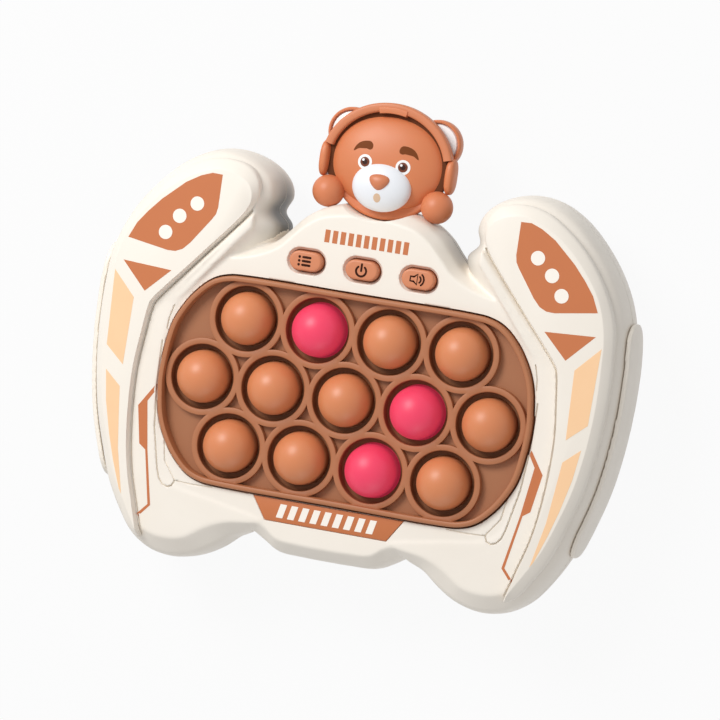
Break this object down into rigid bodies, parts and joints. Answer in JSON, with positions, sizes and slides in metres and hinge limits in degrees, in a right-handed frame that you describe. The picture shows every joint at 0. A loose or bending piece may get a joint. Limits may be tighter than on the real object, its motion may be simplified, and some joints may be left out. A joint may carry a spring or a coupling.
{
  "type": "electronic bubble pop game",
  "caption": "Handheld two-handled press-the-lit-bubble game with sprung round keys, small function buttons and a toy bear head.",
  "frame": {"origin": "under the middle of the whole game, on the surface that it lies on with its back down", "axes": "+X to the right as the player sees it, +Y up the face towards the bear, +Z out of the face"},
  "size_m": [0.1722, 0.1508, 0.045],
  "materials": {
    "cream_shell": "moulded cream plastic with a satin gloss, printed in brown and peach on the handle covers",
    "brown_shell": "moulded warm brown plastic, satin",
    "brown_key": "smooth translucent brown plastic, soft highlight",
    "lit_key": "the same key lit pink from below",
    "bear_brown": "soft brown plastic",
    "white_trim": "white plastic",
    "dark_brown": "dark brown painted plastic",
    "circuit_board": "green printed circuit board",
    "cell_wrap": "plain shrink wrap on a dry cell",
    "steel": "zinc plated steel",
    "black_plastic": "black plastic"
  },
  "bodies": {
    "root": {"front_shell": "cream_shell", "rear_shell": "cream_shell", "left_handle_cover": "cream_shell", "right_handle_cover": "cream_shell", "left_side_grip": "cream_shell", "right_side_grip": "cream_shell", "bubble_frame": "brown_shell", "label_plate": "brown_shell", "game_board": "circuit_board", "button_board": "circuit_board", "battery_1": "cell_wrap", "battery_2": "cell_wrap", "battery_3": "cell_wrap", "battery_contact_left_bridge": "steel", "battery_contact_left_end": "steel", "battery_contact_right_end": "steel", "battery_contact_right_bridge": "steel", "speaker": "black_plastic", "speaker_ring": "black_plastic", "case_screw_1": "steel", "case_screw_2": "steel", "case_screw_3": "steel", "case_screw_4": "steel", "case_screw_5": "steel", "case_screw_6": "steel", "bear_head_front": "bear_brown", "bear_head_rear": "bear_brown", "bear_muzzle": "white_trim", "bear_nose": "dark_brown", "left_ear": "bear_brown", "right_ear": "bear_brown", "left_ear_inner": "white_trim", "right_ear_inner": "white_trim", "headphone_band": "brown_shell", "left_ear_cup": "brown_shell", "right_ear_cup": "brown_shell", "left_paw": "brown_shell", "right_paw": "brown_shell"},
    "bubble_01": {"bubble_01": "brown_key"},
    "bubble_02": {"bubble_02": "lit_key"},
    "bubble_03": {"bubble_03": "brown_key"},
    "bubble_04": {"bubble_04": "brown_key"},
    "bubble_05": {"bubble_05": "brown_key"},
    "bubble_06": {"bubble_06": "brown_key"},
    "bubble_07": {"bubble_07": "brown_key"},
    "bubble_08": {"bubble_08": "lit_key"},
    "bubble_09": {"bubble_09": "brown_key"},
    "bubble_10": {"bubble_10": "brown_key"},
    "bubble_11": {"bubble_11": "brown_key"},
    "bubble_12": {"bubble_12": "lit_key"},
    "bubble_13": {"bubble_13": "brown_key"},
    "menu_button": {"menu_button": "brown_shell"},
    "power_button": {"power_button": "brown_shell"},
    "sound_button": {"sound_button": "brown_shell"},
    "battery_door": {"battery_door": "cream_shell", "battery_door_screw": "steel"}
  },
  "joints": [
    {"name": "bubble_01_press", "type": "slide", "parent": "root", "child": "bubble_01", "axis": [0, 0, -1], "range_m": [0, 0.0024], "stiffness_N_per_m": 600, "springref_m": -0.0005},
    {"name": "bubble_02_press", "type": "slide", "parent": "root", "child": "bubble_02", "axis": [0, 0, -1], "range_m": [0, 0.0024], "stiffness_N_per_m": 600, "springref_m": -0.0005},
    {"name": "bubble_03_press", "type": "slide", "parent": "root", "child": "bubble_03", "axis": [0, 0, -1], "range_m": [0, 0.0024], "stiffness_N_per_m": 600, "springref_m": -0.0005},
    {"name": "bubble_04_press", "type": "slide", "parent": "root", "child": "bubble_04", "axis": [0, 0, -1], "range_m": [0, 0.0024], "stiffness_N_per_m": 600, "springref_m": -0.0005},
    {"name": "bubble_05_press", "type": "slide", "parent": "root", "child": "bubble_05", "axis": [0, 0, -1], "range_m": [0, 0.0024], "stiffness_N_per_m": 600, "springref_m": -0.0005},
    {"name": "bubble_06_press", "type": "slide", "parent": "root", "child": "bubble_06", "axis": [0, 0, -1], "range_m": [0, 0.0024], "stiffness_N_per_m": 600, "springref_m": -0.0005},
    {"name": "bubble_07_press", "type": "slide", "parent": "root", "child": "bubble_07", "axis": [0, 0, -1], "range_m": [0, 0.0024], "stiffness_N_per_m": 600, "springref_m": -0.0005},
    {"name": "bubble_08_press", "type": "slide", "parent": "root", "child": "bubble_08", "axis": [0, 0, -1], "range_m": [0, 0.0024], "stiffness_N_per_m": 600, "springref_m": -0.0005},
    {"name": "bubble_09_press", "type": "slide", "parent": "root", "child": "bubble_09", "axis": [0, 0, -1], "range_m": [0, 0.0024], "stiffness_N_per_m": 600, "springref_m": -0.0005},
    {"name": "bubble_10_press", "type": "slide", "parent": "root", "child": "bubble_10", "axis": [0, 0, -1], "range_m": [0, 0.0024], "stiffness_N_per_m": 600, "springref_m": -0.0005},
    {"name": "bubble_11_press", "type": "slide", "parent": "root", "child": "bubble_11", "axis": [0, 0, -1], "range_m": [0, 0.0024], "stiffness_N_per_m": 600, "springref_m": -0.0005},
    {"name": "bubble_12_press", "type": "slide", "parent": "root", "child": "bubble_12", "axis": [0, 0, -1], "range_m": [0, 0.0024], "stiffness_N_per_m": 600, "springref_m": -0.0005},
    {"name": "bubble_13_press", "type": "slide", "parent": "root", "child": "bubble_13", "axis": [0, 0, -1], "range_m": [0, 0.0024], "stiffness_N_per_m": 600, "springref_m": -0.0005},
    {"name": "menu_button_press", "type": "slide", "parent": "root", "child": "menu_button", "axis": [0, 0, -1], "range_m": [0, 0.001], "stiffness_N_per_m": 500, "springref_m": -0.0004},
    {"name": "power_button_press", "type": "slide", "parent": "root", "child": "power_button", "axis": [0, 0, -1], "range_m": [0, 0.001], "stiffness_N_per_m": 500, "springref_m": -0.0004},
    {"name": "sound_button_press", "type": "slide", "parent": "root", "child": "sound_button", "axis": [0, 0, -1], "range_m": [0, 0.001], "stiffness_N_per_m": 500, "springref_m": -0.0004},
    {"name": "battery_door_lift", "type": "slide", "parent": "root", "child": "battery_door", "axis": [0, 0, -1], "range_m": [0, 0.0075]}
  ]
}
